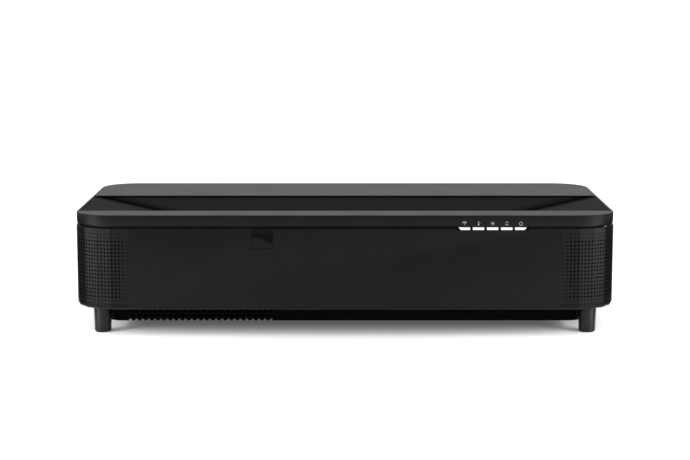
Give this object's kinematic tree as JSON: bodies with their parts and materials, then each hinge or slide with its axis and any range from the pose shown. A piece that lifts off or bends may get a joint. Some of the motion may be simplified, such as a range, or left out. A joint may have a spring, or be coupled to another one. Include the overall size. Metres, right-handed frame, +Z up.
{
  "type": "home projector",
  "caption": "Wide low ultra short throw projector with a light trough in its lid, faceted perforated corners, status lights and screw feet.",
  "frame": {"origin": "on the surface that the projector stands on, under the middle of the case", "axes": "+X to the right seen from the front, +Y from the front to the back, +Z up"},
  "size_m": [0.695, 0.341, 0.157],
  "materials": {
    "body_plastic": "fine matt moulded, near black",
    "lid_plastic": "satin moulded, dark grey",
    "trough_plastic": "dead matt black",
    "inner_plastic": "moulded black plastic",
    "window_glass": "coated glass",
    "dark_window": "polished infrared plastic",
    "light_guide": "milky light guide",
    "foot_metal": "gunmetal, fine turned",
    "rubber": "soft rubber",
    "steel": "plated steel",
    "aluminium": "cast or extruded aluminium",
    "copper": "copper block",
    "optical_glass": "clear optical glass",
    "mirror_coat": "front surface mirror",
    "circuit_board": "green solder mask",
    "paper_medium": "pleated filter medium",
    "cone_paper": "coated cone and magnet",
    "phosphor": "disc with a yellow phosphor ring"
  },
  "bodies": {
    "case": {"base_tray": "body_plastic", "case_screws": "steel", "base_skirt": "trough_plastic", "underside_plate": "trough_plastic", "intake_grille": "trough_plastic", "front_panel": "body_plastic", "speaker_grille_left": "body_plastic", "speaker_grille_right": "body_plastic", "left_side_panel": "body_plastic", "right_side_panel": "body_plastic", "rear_panel": "body_plastic", "seam_gasket": "rubber", "front_rim": "lid_plastic", "obstacle_sensors": "dark_window", "left_shoulder": "lid_plastic", "right_shoulder": "lid_plastic", "trough_ramp": "trough_plastic", "top_cover": "lid_plastic", "window_bezel": "trough_plastic", "projection_window": "window_glass", "remote_window": "dark_window", "status_lights": "light_guide", "status_board": "circuit_board", "main_board": "circuit_board", "hdmi_sockets": "steel", "usb_sockets": "steel", "audio_sockets": "inner_plastic", "power_inlet": "inner_plastic", "power_supply": "circuit_board", "optical_engine": "aluminium", "colour_prism": "optical_glass", "lens_barrel": "aluminium", "focus_motor": "steel", "concave_mirror": "mirror_coat", "mirror_bracket": "aluminium", "phosphor_motor": "steel", "laser_module": "copper", "laser_heatsink": "aluminium", "fan_frames": "inner_plastic", "speaker_boxes": "inner_plastic", "speaker_drivers": "cone_paper", "power_switch": "inner_plastic", "rear_feet": "foot_metal", "rear_foot_pads": "rubber"},
    "exhaust_rotor_front": {"exhaust_rotor_front": "inner_plastic"},
    "exhaust_rotor_rear": {"exhaust_rotor_rear": "inner_plastic"},
    "intake_rotor": {"intake_rotor": "inner_plastic"},
    "phosphor_wheel": {"phosphor_wheel": "phosphor"},
    "focus_screw": {"focus_screw": "steel"},
    "focus_carriage": {"focus_carriage": "inner_plastic"},
    "power_button": {"power_button": "inner_plastic"},
    "filter_cassette": {"filter_cover": "body_plastic", "filter_frame": "inner_plastic", "filter_medium": "paper_medium"},
    "foot_washer_left": {"foot_washer_left": "steel"},
    "foot_left": {"foot_left": "foot_metal", "foot_pad_left": "rubber"},
    "foot_washer_right": {"foot_washer_right": "steel"},
    "foot_right": {"foot_right": "foot_metal", "foot_pad_right": "rubber"}
  },
  "joints": [
    {"name": "exhaust_front_spin", "type": "hinge", "parent": "case", "child": "exhaust_rotor_front", "pos_m": [0.325, -0.004, 0.09], "axis": [1, 0, 0], "continuous": true},
    {"name": "exhaust_rear_spin", "type": "hinge", "parent": "case", "child": "exhaust_rotor_rear", "pos_m": [0.325, 0.09, 0.09], "axis": [1, 0, 0], "continuous": true},
    {"name": "intake_spin", "type": "hinge", "parent": "case", "child": "intake_rotor", "pos_m": [-0.315, -0.028, 0.09], "axis": [1, 0, 0], "continuous": true},
    {"name": "phosphor_spin", "type": "hinge", "parent": "case", "child": "phosphor_wheel", "pos_m": [0.135, 0.044, 0.082], "axis": [0, 1, 0], "continuous": true},
    {"name": "focus_screw_turn", "type": "hinge", "parent": "case", "child": "focus_screw", "pos_m": [0.056, -0.03, 0.082], "axis": [0, 1, 0], "range_deg": [-725, 725]},
    {"name": "focus_slide", "type": "slide", "parent": "case", "child": "focus_carriage", "axis": [0, 1, 0], "range_m": [-0.006, 0.006]},
    {"name": "power_button_press", "type": "slide", "parent": "case", "child": "power_button", "axis": [0, -1, 0], "range_m": [0, 0.0015], "stiffness_N_per_m": 600, "springref_m": -0.0015},
    {"name": "filter_pull", "type": "slide", "parent": "case", "child": "filter_cassette", "axis": [-1, 0, 0], "range_m": [0, 0.06]},
    {"name": "foot_left_travel", "type": "slide", "parent": "case", "child": "foot_washer_left", "axis": [0, 0, -1], "range_m": [0, 0.0075]},
    {"name": "foot_left_turn", "type": "hinge", "parent": "foot_washer_left", "child": "foot_left", "pos_m": [-0.3145, -0.1315, 0.03], "axis": [0, 0, -1], "range_deg": [-5, 2165]},
    {"name": "foot_right_travel", "type": "slide", "parent": "case", "child": "foot_washer_right", "axis": [0, 0, -1], "range_m": [0, 0.0075]},
    {"name": "foot_right_turn", "type": "hinge", "parent": "foot_washer_right", "child": "foot_right", "pos_m": [0.3145, -0.1315, 0.03], "axis": [0, 0, -1], "range_deg": [-5, 2165]}
  ],
  "couplings": [
    {"joint": "focus_screw_turn", "follows": "focus_slide", "rad_per_m": -2094.4},
    {"joint": "foot_left_turn", "follows": "foot_left_travel", "rad_per_m": 5026.5},
    {"joint": "foot_right_turn", "follows": "foot_right_travel", "rad_per_m": 5026.5}
  ]
}
